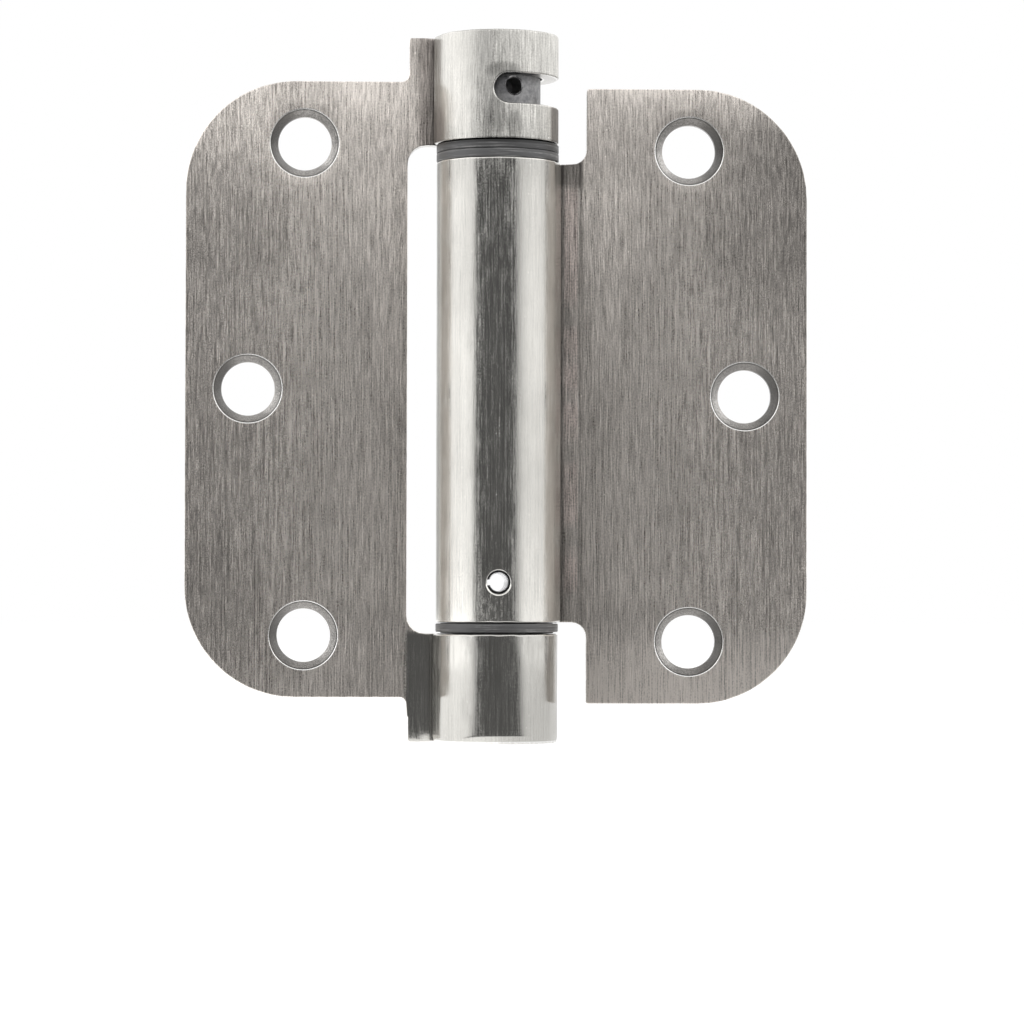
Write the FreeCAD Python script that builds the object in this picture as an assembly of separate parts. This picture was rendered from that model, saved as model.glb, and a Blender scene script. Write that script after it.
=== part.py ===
"""Adjustable spring door hinge, 3.5 inch, round corners, opened out flat.

Millimetres. The hinge axis is Z, +X points along the barrel leaf, and the countersunk faces of
both leaves look towards -Y. The origin is on the hinge axis, half way up the stack of knuckles.
"""
import FreeCAD, Part
import math
import os

V = FreeCAD.Vector
UP = V(0, 0, 1)
ORIGIN = V(0, 0, 0)

# Sheet that both leaves are stamped and rolled from
sheet = 2.4
leaf_height = 88.9
leaf_reach = 44.9
corner_radius = 15.875
bore_r = 6.35
set_back = 1.4

# Curl of a leaf around the hinge axis
bend_r = 6.0
slope_deg = 42.0
curl_end_deg = -164.0
tip_gap = 0.35

# Knuckles, and what runs between them
knuckle_rise = 6.35
knuckle_length = 15.6
washer_thickness = 1.2
washer_overhang = 0.05
top_play = 0.15
middle_play = 0.15
bottom_play = 0.25
barrel_leaf_drop = 0.85

# Blank outlines beside the knuckles
notch_gap = 4.2
tab_width = 4.0
tab_corner_r = 1.2
knuckle_notch_r = 2.6
barrel_notch_r = 2.1

# Screw holes
screw_hole_r = 3.85
countersink_r = 4.98
countersink_deg = 82.0
outer_hole_from_edge = 17.1
outer_hole_from_end = 8.95
middle_hole_from_edge = 9.0

# Slot in the top knuckle that the tension pin travels in
slot_height = 4.3
slot_from_end = 8.35
slot_start_deg = -81.0
slot_sweep_deg = 140.0

# Plugs that the two ends of the spring drive, and that the leaves turn on
plug_clearance = 0.2
washer_clearance = 0.15
plug_recess = 0.7
plug_taper = 0.3
plug_taper_length = 1.05
plug_bevel = 0.15
plug_in_barrel = 12.6
nose_length = 5.0
nose_bevel = 0.4

# Winding socket and tension holes of the top plug
socket_flats = 4.05
socket_depth = 5.0
socket_turn_deg = 12.0
socket_mouth_r = 2.65
tension_hole_r = 1.2
tension_hole_depth = 3.6
tension_hole_rise = 0.65
tension_hole_count = 4
tension_hole_first_deg = -69.0

# Slotted spring pin through the barrel and the bottom plug
pin_r = 1.6
pin_bore_r = 1.3
pin_slot = 0.9
pin_end_bevel = 0.2
pin_above_barrel_end = 5.75
pin_sink = 0.3
pin_fit = 0.02
pin_hole_clearance = 0.05
pin_hole_bevel = 0.3

# Torsion spring
wire_height = 1.8
wire_width = 1.8
spring_clearance = 0.45
spring_end_gap = 0.1
least_coil_gap = 0.1
chords_per_turn = 16
tang_fit = 0.1
nose_clearance = 0.3

outer_r = bore_r + sheet
back_y = set_back + sheet
stack_top = leaf_height / 2 + knuckle_rise
knuckle_end = stack_top - knuckle_length
barrel_top = knuckle_end - top_play - 2 * washer_thickness
barrel_bottom = -knuckle_end + bottom_play + washer_thickness + middle_play
notch_x = outer_r + notch_gap
tab_edge_x = outer_r + tab_width
plug_r = bore_r - plug_clearance
shoulder_top = barrel_top - plug_in_barrel
shoulder_bottom = barrel_bottom + plug_in_barrel
slot_z = stack_top - slot_from_end
pin_z = barrel_bottom + pin_above_barrel_end
wire_r = bore_r - spring_clearance - wire_width / 2
nose_r = wire_r - wire_width / 2 - nose_clearance
spring_low = shoulder_bottom + spring_end_gap + wire_height / 2
spring_high = shoulder_top - spring_end_gap - wire_height / 2
spring_turns = math.floor((spring_high - spring_low) / (wire_height + least_coil_gap))
top_tang_deg = -360 * spring_turns


def polar(radius, degrees):
    angle = math.radians(degrees)
    return V(radius * math.cos(angle), radius * math.sin(angle), 0)


def arc(start, middle, end):
    return Part.Arc(start, middle, end).toShape()


def line(start, end):
    return Part.LineSegment(start, end).toShape()


def profile(points):
    """A closed face through straight runs."""
    return Part.Face(Part.makePolygon(list(points) + [points[0]]))


def turned(points):
    """A solid of revolution about Z from (radius, height) points."""
    return profile([V(r, 0, z) for r, z in points]).revolve(ORIGIN, UP, 360)


def rounded_outline(corners):
    """A closed wire in the XZ plane through (x, z, radius) corners, radius 0 for a sharp one."""
    edges = []
    last = None
    first = None
    count = len(corners)
    for i in range(count):
        x, z, radius = corners[i]
        here = V(x, 0, z)
        before = V(corners[i - 1][0], 0, corners[i - 1][1])
        after = V(corners[(i + 1) % count][0], 0, corners[(i + 1) % count][1])
        if radius:
            to_before = (before - here).normalize()
            to_after = (after - here).normalize()
            half = to_before.getAngle(to_after) / 2
            enter = here + to_before * (radius / math.tan(half))
            leave = here + to_after * (radius / math.tan(half))
            bisector = (to_before + to_after).normalize()
            crown = here + bisector * (radius / math.sin(half) - radius)
        else:
            enter = leave = here
        if last is not None:
            edges.append(line(last, enter))
        else:
            first = enter
        if radius:
            edges.append(arc(enter, crown, leave))
        last = leave
    edges.append(line(last, first))
    return Part.Wire(edges)


def curl_section():
    """The sheet's cross section, for a leaf that runs to -X and curls over the back of the axis.

    The plate's back face turns up a slope, meets the barrel at a tangent, and goes round over
    the back, the +X side and the front, to a short straight tip beside its own plate.
    """
    slope = math.radians(slope_deg)
    rise, run = math.sin(slope), math.cos(slope)
    bend_y = back_y + bend_r
    bend_x = (run * bend_y - bend_r - outer_r) / rise
    centre = V(bend_x, bend_y, 0)
    tangent_deg = 90 + slope_deg
    over_deg = (tangent_deg + curl_end_deg) / 2

    def bend_point(radius, turn_deg):
        return centre + polar(radius, turn_deg - 90)

    tip_way = polar(1, curl_end_deg - 90)
    outer_end = polar(outer_r, curl_end_deg)
    inner_end = polar(bore_r, curl_end_deg)
    reach = outer_end - centre
    along = reach.dot(tip_way)
    stop = bend_r + sheet + tip_gap
    tip_length = -along - math.sqrt(along ** 2 - reach.dot(reach) + stop ** 2)
    tip = tip_way * tip_length

    front_start = V(-leaf_reach, set_back, 0)
    back_start = V(-leaf_reach, back_y, 0)
    edges = [
        line(back_start, bend_point(bend_r, 0)),
        arc(bend_point(bend_r, 0), bend_point(bend_r, slope_deg / 2), bend_point(bend_r, slope_deg)),
        line(bend_point(bend_r, slope_deg), polar(outer_r, tangent_deg)),
        arc(polar(outer_r, tangent_deg), polar(outer_r, over_deg), outer_end),
        line(outer_end, outer_end + tip),
        line(outer_end + tip, inner_end + tip),
        line(inner_end + tip, inner_end),
        arc(inner_end, polar(bore_r, over_deg), polar(bore_r, tangent_deg)),
        line(polar(bore_r, tangent_deg), bend_point(bend_r + sheet, slope_deg)),
        arc(
            bend_point(bend_r + sheet, slope_deg),
            bend_point(bend_r + sheet, slope_deg / 2),
            bend_point(bend_r + sheet, 0),
        ),
        line(bend_point(bend_r + sheet, 0), front_start),
        line(front_start, back_start),
    ]
    return Part.Face(Part.Wire(edges))


def rolled_leaf(corners):
    """The curled sheet, cut to the outline of its blank."""
    half = 2 * stack_top
    sheet_run = curl_section().extrude(UP * (2 * half)).translate(UP * -half)
    blank = Part.Face(rounded_outline(corners)).extrude(V(0, 4 * outer_r, 0))
    return sheet_run.common(blank.translate(V(0, -2 * outer_r, 0)))


def screw_hole(x, z):
    """A through hole with a countersink that opens on the front face."""
    depth = (countersink_r - screw_hole_r) / math.tan(math.radians(countersink_deg / 2))
    overrun = sheet / 2
    widen = overrun * math.tan(math.radians(countersink_deg / 2))
    through = Part.makeCylinder(screw_hole_r, 3 * sheet, V(x, set_back - sheet, z), V(0, 1, 0))
    cone = Part.makeCone(
        countersink_r + widen, screw_hole_r, overrun + depth, V(x, set_back - overrun, z), V(0, 1, 0)
    )
    return through.fuse(cone)


def screw_holes(side, middle_z):
    """Two holes near the leaf's ends, and one between them nearer to its edge."""
    outer_x = side * (leaf_reach - outer_hole_from_edge)
    middle_x = side * (leaf_reach - middle_hole_from_edge)
    rise = leaf_height / 2 - outer_hole_from_end
    spots = [(outer_x, middle_z + rise), (middle_x, middle_z), (outer_x, middle_z - rise)]
    return [screw_hole(x, z) for x, z in spots]


def tension_slot():
    """The slot in the top knuckle: a band round the axis with round ends."""
    inner = bore_r / 2
    outer = outer_r + sheet
    half = slot_height / 2
    band = profile([V(inner, 0, -half), V(outer, 0, -half), V(outer, 0, half), V(inner, 0, half)])
    tool = band.revolve(ORIGIN, UP, slot_sweep_deg).rotate(ORIGIN, UP, slot_start_deg)
    for angle in (slot_start_deg, slot_start_deg + slot_sweep_deg):
        way = polar(1, angle)
        tool = tool.fuse(Part.makeCylinder(half, outer - inner, way * inner, way))
    return tool.translate(UP * slot_z)


def knuckle_leaf():
    """The leaf with the two end knuckles, on the -X side."""
    top = leaf_height / 2
    free_x = 2 * outer_r
    leaf = rolled_leaf([
        (free_x, stack_top, 0),
        (-tab_edge_x, stack_top, 0),
        (-tab_edge_x, top, tab_corner_r),
        (-leaf_reach, top, corner_radius),
        (-leaf_reach, -top, corner_radius),
        (-tab_edge_x, -top, tab_corner_r),
        (-tab_edge_x, -stack_top, 0),
        (free_x, -stack_top, 0),
        (free_x, -knuckle_end, 0),
        (-notch_x, -knuckle_end, knuckle_notch_r),
        (-notch_x, knuckle_end, knuckle_notch_r),
        (free_x, knuckle_end, 0),
    ])
    return leaf.cut(screw_holes(-1, 0) + [tension_slot()])


def barrel_leaf():
    """The leaf with the long middle knuckle, on the +X side."""
    top = leaf_height / 2 - barrel_leaf_drop
    bottom = -leaf_height / 2 - barrel_leaf_drop
    free_x = 2 * outer_r
    leaf = rolled_leaf([
        (free_x, barrel_top, 0),
        (-notch_x, barrel_top, barrel_notch_r),
        (-notch_x, top, 0),
        (-leaf_reach, top, corner_radius),
        (-leaf_reach, bottom, corner_radius),
        (-notch_x, bottom, 0),
        (-notch_x, barrel_bottom, barrel_notch_r),
        (free_x, barrel_bottom, 0),
    ])
    leaf = leaf.mirror(ORIGIN, V(1, 0, 0))
    return leaf.cut(screw_holes(1, -barrel_leaf_drop) + [pin_hole()])


def pin_hole():
    """The cross hole in the barrel, bevelled on both outer faces."""
    radius = pin_r + pin_hole_clearance
    tool = Part.makeCylinder(radius, 4 * outer_r, V(0, -2 * outer_r, pin_z), V(0, 1, 0))
    overrun = 2 * pin_hole_bevel
    for side in (-1, 1):
        mouth = V(0, side * (outer_r + overrun), pin_z)
        cone = Part.makeCone(
            radius + pin_hole_bevel + overrun, radius, overrun + pin_hole_bevel, mouth, V(0, -side, 0)
        )
        tool = tool.fuse(cone)
    return tool


def plug_blank(end_z, shoulder_z):
    """A turned plug: tapered bevelled head at end_z, shoulder and spring nose at the other end."""
    way = 1 if end_z > shoulder_z else -1
    nose_end = shoulder_z - way * nose_length
    return turned([
        (0, end_z),
        (plug_r - plug_taper - plug_bevel, end_z),
        (plug_r - plug_taper, end_z - way * plug_bevel),
        (plug_r, end_z - way * (plug_bevel + plug_taper_length)),
        (plug_r, shoulder_z),
        (nose_r, shoulder_z),
        (nose_r, nose_end + way * nose_bevel),
        (nose_r - nose_bevel, nose_end),
        (0, nose_end),
    ])


def tang_slot(low_z, turn_deg):
    """The cut across a nose that the spring's bent end drops into, from low_z upwards."""
    width = wire_width + 2 * tang_fit
    length = 2 * plug_r
    box = Part.makeBox(length, width, 2 * nose_length, V(-length / 2, -width / 2, low_z))
    return box.rotate(ORIGIN, UP, turn_deg)


def hexagon(flats, z, turn_deg):
    corner = flats / 2 / math.cos(math.radians(30))
    return profile([polar(corner, turn_deg + 60 * k) + UP * z for k in range(6)])


def tension_plug():
    """The top plug: hex socket for the winding key and a ring of holes for the tension pin."""
    end_z = stack_top - plug_recess
    plug = plug_blank(end_z, shoulder_top)
    socket = hexagon(socket_flats, end_z - socket_depth, socket_turn_deg).extrude(UP * (2 * socket_depth))
    mouth = Part.makeCone(0, 2 * socket_mouth_r, 2 * socket_mouth_r, V(0, 0, end_z - socket_mouth_r))
    drill = Part.makeCylinder(
        tension_hole_r,
        2 * tension_hole_depth,
        V(plug_r - tension_hole_depth, 0, slot_z + tension_hole_rise),
        V(1, 0, 0),
    )
    holes = [
        drill.copy().rotate(ORIGIN, UP, tension_hole_first_deg + k * 360 / tension_hole_count)
        for k in range(tension_hole_count)
    ]
    tang_cut = tang_slot(shoulder_top - 2 * nose_length, top_tang_deg)
    return plug.cut([socket, mouth, tang_cut] + holes)


def anchor_plug():
    """The bottom plug, cross drilled for the pin that fixes it in the barrel."""
    plug = plug_blank(-stack_top + plug_recess, shoulder_bottom)
    cross = Part.makeCylinder(pin_r + pin_fit, 2 * outer_r, V(0, -outer_r, pin_z), V(0, 1, 0))
    return plug.cut([cross, tang_slot(shoulder_bottom, 0)])


def anchor_roll_pin():
    """A slotted spring pin across the axis, its slot facing the knuckle leaf."""
    half = outer_r - pin_sink
    bevel = pin_end_bevel
    tube = turned([
        (pin_bore_r, -half),
        (pin_r - bevel, -half),
        (pin_r, -half + bevel),
        (pin_r, half - bevel),
        (pin_r - bevel, half),
        (pin_bore_r, half),
    ])
    slit = Part.makeBox(2 * pin_r, pin_slot, 4 * half, V(-2 * pin_r, -pin_slot / 2, -2 * half))
    pin = tube.cut(slit).rotate(ORIGIN, V(1, 0, 0), 90)
    return pin.translate(UP * pin_z)


def washer(bottom_z):
    """A flat thrust washer on the plug, a little wider than the knuckles."""
    disc = Part.makeCylinder(outer_r + washer_overhang, washer_thickness, UP * bottom_z)
    return disc.cut(Part.makeCylinder(plug_r + washer_clearance, washer_thickness, UP * bottom_z))


def torsion_spring():
    """A square wire coil between the plugs' shoulders, each end bent in across the axis.

    It is wound left handed, so that the load which closes the leaves tightens it, and runs in
    short straight chords, so that its many turns stay light.
    """
    half_w = wire_width / 2
    half_h = wire_height / 2
    section = [(-half_w, -half_h), (half_w, -half_h), (half_w, half_h), (-half_w, half_h)]
    chords = spring_turns * chords_per_turn
    rise = (spring_high - spring_low) / chords
    rings = []
    for i in range(chords + 1):
        turn = top_tang_deg * i / chords
        centre_z = spring_low + rise * i
        rings.append([polar(wire_r + out, turn) + UP * (centre_z + up) for out, up in section])
    faces = [profile(rings[0]), profile(rings[-1])]
    for here, there in zip(rings, rings[1:]):
        for side in range(4):
            following = (side + 1) % 4
            faces.append(profile([here[side], here[following], there[following]]))
            faces.append(profile([here[side], there[following], there[side]]))
    shell = Part.makeShell(faces)
    shell.sewShape()
    coil = Part.makeSolid(shell)
    if coil.Volume < 0:
        coil.reverse()
    tang_end = nose_r - nose_bevel
    tang = Part.makeBox(
        wire_r + half_w + tang_end, wire_width, wire_height, V(-tang_end, -half_w, -half_h)
    )
    bottom_tang = tang.copy().translate(UP * spring_low)
    top_tang = tang.copy().rotate(ORIGIN, UP, top_tang_deg).translate(UP * spring_high)
    return coil.fuse([bottom_tang, top_tang]).removeSplitter()


pieces = {
    "knuckle_leaf": knuckle_leaf(),
    "barrel_leaf": barrel_leaf(),
    "tension_plug": tension_plug(),
    "anchor_plug": anchor_plug(),
    "anchor_roll_pin": anchor_roll_pin(),
    "torsion_spring": torsion_spring(),
    "upper_top_washer": washer(barrel_top + washer_thickness),
    "lower_top_washer": washer(barrel_top),
    "bottom_washer": washer(-knuckle_end + bottom_play),
}

os.makedirs("parts", exist_ok=True)
for name, shape in pieces.items():
    solids = shape.Solids
    if len(solids) != 1 or not solids[0].isValid():
        raise ValueError(f"{name}: {len(solids)} solids, valid {shape.isValid()}")
    solids[0].exportStep(f"parts/{name}.step")
    print(f"{name}: {solids[0].Volume:.1f} mm3, {len(solids[0].Faces)} faces")
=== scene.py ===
"""Spring hinge for a door, opened out flat and seen from the side that its screws go in.

The solids are in metres. Each piece below is made in millimetres and scaled as its mesh is made.
"""

import bmesh
import bpy
import math
from mathutils import Matrix, Quaternion, Vector, noise


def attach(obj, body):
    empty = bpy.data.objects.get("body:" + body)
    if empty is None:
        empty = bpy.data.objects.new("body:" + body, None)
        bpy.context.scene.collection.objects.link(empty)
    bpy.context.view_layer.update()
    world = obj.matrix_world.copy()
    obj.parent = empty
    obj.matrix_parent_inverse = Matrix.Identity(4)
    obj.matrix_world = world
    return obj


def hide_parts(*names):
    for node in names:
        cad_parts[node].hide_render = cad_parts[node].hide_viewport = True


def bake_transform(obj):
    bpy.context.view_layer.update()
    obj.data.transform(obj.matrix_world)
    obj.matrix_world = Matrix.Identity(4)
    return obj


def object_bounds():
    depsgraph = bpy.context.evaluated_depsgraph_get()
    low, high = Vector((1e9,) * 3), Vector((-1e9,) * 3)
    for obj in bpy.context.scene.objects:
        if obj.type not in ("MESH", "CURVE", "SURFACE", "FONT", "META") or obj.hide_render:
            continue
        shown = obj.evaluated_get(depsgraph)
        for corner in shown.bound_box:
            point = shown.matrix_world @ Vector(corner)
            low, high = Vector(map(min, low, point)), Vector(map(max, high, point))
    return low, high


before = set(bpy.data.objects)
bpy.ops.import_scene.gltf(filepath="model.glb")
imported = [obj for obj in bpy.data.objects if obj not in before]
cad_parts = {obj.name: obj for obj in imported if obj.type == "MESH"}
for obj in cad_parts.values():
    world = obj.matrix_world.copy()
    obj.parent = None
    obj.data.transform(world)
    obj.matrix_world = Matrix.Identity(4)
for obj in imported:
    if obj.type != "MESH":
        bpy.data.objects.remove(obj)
cad_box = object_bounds()

# Knuckle leaf: the leaf on the left, one sheet of steel. It is stamped flat with its three
# screw holes and the slot of the top knuckle, its edges are eased, and then the two end
# knuckles are rolled round the hinge axis. Satin nickel plate covers it all.
MM = 0.001
sheet = 2.4
set_back = 1.4
leaf_reach = 44.9
leaf_top = 44.45
corner_r = 15.875
bore_r = 6.35
outer_r = bore_r + sheet
bend_r = 6.0
slope = math.radians(42)
curl_start = math.radians(132)
curl_end = math.radians(-164)
tip_gap = 0.35
bend_y = set_back + sheet + bend_r
bend_x = (math.cos(slope) * bend_y - bend_r - outer_r) / math.sin(slope)
bend_out = Vector((math.sin(slope), -math.cos(slope)))
curl_mid_r = bore_r + sheet / 2
plate_run = leaf_reach + bend_x
bend_run = (bend_r + sheet / 2) * slope
slope_run = (Vector((bend_x, bend_y)) + bend_out * bend_r
             - outer_r * Vector((math.cos(curl_start), math.sin(curl_start)))).length
curl_u = plate_run + bend_run + slope_run
tip_u = curl_u + curl_mid_r * (curl_start - curl_end)
tip_way = Vector((math.sin(curl_end), -math.cos(curl_end)))
tip_reach = outer_r * Vector((math.cos(curl_end), math.sin(curl_end))) - Vector((bend_x, bend_y))
tip_along = tip_reach.dot(tip_way)
tip_stop = bend_r + sheet + tip_gap
tip_run = -tip_along - math.sqrt(tip_along ** 2 - tip_reach.length_squared + tip_stop ** 2)
blank_end = tip_u + tip_run


def rolled(u, w):
    """Where a point of the flat blank goes, u along the sheet from its outer edge and w deep.

    Returns its place in plan, and the ways that u and w run there.
    """
    if u <= plate_run:
        return Vector((u - leaf_reach, set_back + w)), Vector((1, 0)), Vector((0, 1))
    u -= plate_run
    if u <= bend_run + slope_run:
        turn = min(u / (bend_r + sheet / 2), slope)
        out = Vector((math.sin(turn), -math.cos(turn)))
        along = Vector((math.cos(turn), math.sin(turn)))
        past = max(u - bend_run, 0)
        return Vector((bend_x, bend_y)) + out * (bend_r + sheet - w) + along * past, along, -out
    u -= bend_run + slope_run
    turn = max(curl_start - u / curl_mid_r, curl_end)
    radial = Vector((math.cos(turn), math.sin(turn)))
    along = Vector((math.sin(turn), -math.cos(turn)))
    past = max(u - (tip_u - curl_u), 0)
    return radial * (bore_r + w) + along * past, along, radial


def curl_place(degrees):
    """How far along the blank an angle round the hinge axis lies."""
    return curl_u + curl_mid_r * (curl_start - math.radians(degrees))


def outline_edge(corners, rounding, step=0.9, rough=0.05):
    """A blank's outline through (u, v, radius) corners.

    rounding(spot, side) gives how far the rounded edge reaches into the face, and how deep.
    """
    points = []
    count = len(corners)
    for i, (u, v, radius) in enumerate(corners):
        here = Vector((u, v))
        before = (Vector(corners[i - 1][:2]) - here).normalized()
        after = (Vector(corners[(i + 1) % count][:2]) - here).normalized()
        half = before.angle(after) / 2
        centre = here + (before + after).normalized() * radius / math.sin(half)
        start = here + before * radius / math.tan(half) - centre
        end = here + after * radius / math.tan(half) - centre
        turn = math.atan2(start.x * end.y - start.y * end.x, start.dot(end))
        pieces = max(3, math.ceil(abs(turn) * radius / step), math.ceil(abs(turn) / 0.35))
        for k in range(pieces + 1):
            a = turn * k / pieces
            points.append(centre + Vector((start.x * math.cos(a) - start.y * math.sin(a),
                                           start.x * math.sin(a) + start.y * math.cos(a))))
    full = []
    for here, there in zip(points, points[1:] + points[:1]):
        pieces = max(1, math.ceil((there - here).length / step))
        full += [here.lerp(there, k / pieces) for k in range(pieces)]
    ways = []
    for before, here, after in zip(full[-1:] + full[:-1], full, full[1:] + full[:1]):
        a, b = (here - before).normalized(), (after - here).normalized()
        a, b = Vector((-a.y, a.x)), Vector((-b.y, b.x))
        ways.append((a + b) / (1 + a.dot(b)))
    dents = [rough * max(0, noise.noise(Vector((p.x * 1.1, p.y * 1.1, 4)))) for p in full]
    full = [p + way * dent for p, way, dent in zip(full, ways, dents)]

    def at(side, turn):
        edge = []
        for p, way in zip(full, ways):
            reach, deep = rounding(p, side)
            offset, w, lean = elliptic(side, turn, reach, deep)
            edge.append((p + way * offset, w, way.normalized(), lean))
        return edge
    return at


def elliptic(side, turn, reach, deep):
    """A point of an edge's quarter ellipse: how far in, how deep in the sheet, and its lean."""
    lean = math.atan2(deep * math.sin(turn), reach * math.cos(turn))
    if side == 0:
        return reach * (1 - math.sin(turn)), deep * (1 - math.cos(turn)), lean
    return reach * (1 - math.sin(turn)), sheet - deep * (1 - math.cos(turn)), math.pi - lean


def hole_edge(shape, wide, rim, waist=None, back=0.2):
    """A hole's edge, with its rim eased, and countersunk at 82 degrees if a waist is given.

    shape(offset, w) gives the places on the hole's edge and the ways into the sheet. The waist
    is the rounding where the countersink ends in the hole.
    """
    cone = math.radians(90 - 82 / 2)

    def at(side, turn):
        if side == 1:
            offset, w, lean = elliptic(1, turn, back, back)
        elif waist is None:
            offset, w, lean = elliptic(0, turn, rim, rim)
        elif turn < math.radians(60):
            lean = min(cone * turn / math.radians(45), cone)
            offset = wide + rim * math.tan(cone / 2) - rim * math.sin(lean)
            w = rim * (1 - math.cos(lean))
        else:
            lean = cone + (math.pi / 2 - cone) * (turn - math.radians(60)) / math.radians(30)
            offset = waist * (1 - math.sin(lean))
            w = wide * math.tan(cone) + waist * math.tan((math.pi / 2 - cone) / 2)
            w -= waist * math.cos(lean)
        return [(spot, w, way, lean) for spot, way in shape(offset, w)]
    return at


def round_hole(u, v, radius, pieces=72):
    """The shape of a round hole in the flat blank."""
    ways = [Vector((math.cos(t), math.sin(t))) for t in
            (-2 * math.pi * k / pieces for k in range(pieces))]
    return lambda offset, w: [(Vector((u, v)) + way * (radius + offset), way) for way in ways]


def barrel_slot(first, last, v, half, bend_pieces=20, run_pieces=70):
    """The shape of a slot round the barrel, cut square to it, from one angle to another.

    Its lower edge is left a little wavy, as the punch tore it.
    """
    def torn(spot):
        return spot.y + 0.16 * max(0, noise.noise(Vector((spot.x * 0.45, 7, 2)))) * (spot.y < v - 1.5)

    def shape(offset, w):
        edge = []
        tall = half + offset
        for end, other, out in ((first, last, 1), (last, first, -1)):
            for k in range(bend_pieces + 1):
                t = math.pi * (k / bend_pieces - 0.5)
                wide = math.asin(tall * math.cos(t) / (bore_r + w)) * curl_mid_r
                spot = Vector((curl_place(end) + out * wide, v - out * tall * math.sin(t)))
                edge.append((spot, out * Vector((math.cos(t), -math.sin(t)))))
            for k in range(1, run_pieces):
                angle = end + (other - end) * k / run_pieces
                edge.append((Vector((curl_place(angle), v - tall * out)), Vector((0, -out))))
        return [(Vector((spot.x, torn(spot))), way) for spot, way in edge]
    return shape


def cross_hole(angle, v, radius, pieces=48):
    """The shape of a hole drilled straight across the rolled barrel."""
    def shape(offset, w):
        edge = []
        for k in range(pieces):
            t = -2 * math.pi * k / pieces
            across = math.asin((radius + offset) * math.cos(t) / (bore_r + w)) * curl_mid_r
            spot = Vector((curl_place(angle) + across, v + (radius + offset) * math.sin(t)))
            edge.append((spot, Vector((math.cos(t), math.sin(t)))))
        return edge
    return shape


def into_scene(name, data):
    """Puts a mesh, lamp or camera into the scene, at the origin."""
    made = bpy.data.objects.new(name, data)
    bpy.context.scene.collection.objects.link(made)
    return made


def piece_from(bm, name):
    mesh = bpy.data.meshes.new(name)
    bm.to_mesh(mesh)
    bm.free()
    return into_scene(name, mesh)


def rolled_leaf(name, edges, crevice, mirrored):
    """A leaf's mesh: both faces and all edges of the blank, then rolled, with flat UVs.

    Each edge comes with 1 if it is drilled, and 0 if it is sheared, when the first of its
    rounding is plated as the face is. crevice(spot, w) is 1 where an edge lies in a narrow gap; there it is
    painted black as the gap's shadow.
    """
    bm = bmesh.new()
    lean_of = bm.verts.layers.float_vector.new("lean")
    spread_of = bm.verts.layers.float_vector.new("spread")
    depth_of = bm.verts.layers.float.new("depth")
    drilled_of = bm.verts.layers.float.new("drilled")
    crevice_of = bm.verts.layers.float.new("crevice")
    mouths = {0: [], -1: []}
    turns = [math.radians(t) for t in (0, 25, 45, 60, 72, 82, 90)]
    for at, drilled in edges:
        rings = []
        for side, turn in [(0, t) for t in turns] + [(1, t) for t in reversed(turns)]:
            ring = []
            for spot, w, way, lean in at(side, turn):
                vert = bm.verts.new((spot.x, spot.y, w))
                vert[lean_of] = (*(-way * math.sin(lean)), -math.cos(lean))
                vert[spread_of] = (*(-way * w), 0)
                vert[depth_of] = w / sheet
                vert[drilled_of] = drilled
                vert[crevice_of] = crevice(spot, w)
                ring.append(vert)
            rings.append(ring)
        for k, (ring, following) in enumerate(zip(rings, rings[1:])):
            plated = not drilled and not 1 < k < len(rings) - 3
            for i in range(len(ring)):
                j = (i + 1) % len(ring)
                face = bm.faces.new((ring[i], ring[j], following[j], following[i]))
                face.material_index = 0 if plated and ring[i][crevice_of] < 0.5 else 1
        for end in mouths:
            ring = rings[end]
            mouths[end] += [bm.edges.get((ring[i - 1], ring[i])) for i in range(len(ring))]
    for end, mouth in mouths.items():
        bmesh.ops.triangle_fill(bm, use_beauty=True, use_dissolve=False, edges=mouth)
    bmesh.ops.recalc_face_normals(bm, faces=bm.faces)
    cuts = [plate_run + bend_run * k / 8 for k in range(9)] + [curl_u, tip_u]
    cuts += [curl_u + (tip_u - curl_u) * k / 90 for k in range(1, 90)]
    for u in cuts:
        bmesh.ops.bisect_plane(bm, geom=bm.verts[:] + bm.edges[:] + bm.faces[:], dist=1e-5,
                               plane_co=(u, 0, 0), plane_no=(1, 0, 0))
    uv = bm.loops.layers.uv.new("blank")
    for face in bm.faces:
        for loop in face.loops:
            spread = loop.vert[spread_of].xy if face.material_index else Vector((0, 0))
            loop[uv].uv = loop.vert.co.xy + spread
    side = -1 if mirrored else 1
    normals = []
    for vert in bm.verts:
        u, v, w = vert.co
        place, along, through = rolled(u, w)
        lean = vert[lean_of]
        normal = along * lean.x + through * lean.z
        normals.append(Vector((normal.x * side, normal.y, lean.y)).normalized())
        vert.co = (place.x * side * MM, place.y * MM, v * MM)
    if not mirrored:
        bmesh.ops.reverse_faces(bm, faces=bm.faces)
    for face in bm.faces:
        face.smooth = True
    piece = piece_from(bm, name)
    piece.data.normals_split_custom_set_from_vertices(normals)
    return piece


def node(tree, kind, inputs=(), **settings):
    """Adds a node. Each input is a value or the socket that feeds it."""
    made = tree.nodes.new(kind)
    for key, value in settings.items():
        setattr(made, key, value)
    for key, value in dict(inputs).items():
        if isinstance(value, bpy.types.NodeSocket):
            tree.links.new(value, made.inputs[key])
        else:
            made.inputs[key].default_value = value
    return made


def maths(tree, operation, a, b=0.0, c=0.0):
    return node(tree, "ShaderNodeMath", {0: a, 1: b, 2: c}, operation=operation).outputs[0]


def times(tree, a, b):
    return maths(tree, "MULTIPLY", a, b)


def ramp(tree, value, low, high, to_low=0.0, to_high=1.0):
    """A value's smooth way from one level to another."""
    return node(tree, "ShaderNodeMapRange", {
        "Value": value, "From Min": low, "From Max": high, "To Min": to_low, "To Max": to_high,
    }, interpolation_type="SMOOTHSTEP").outputs[0]


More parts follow.
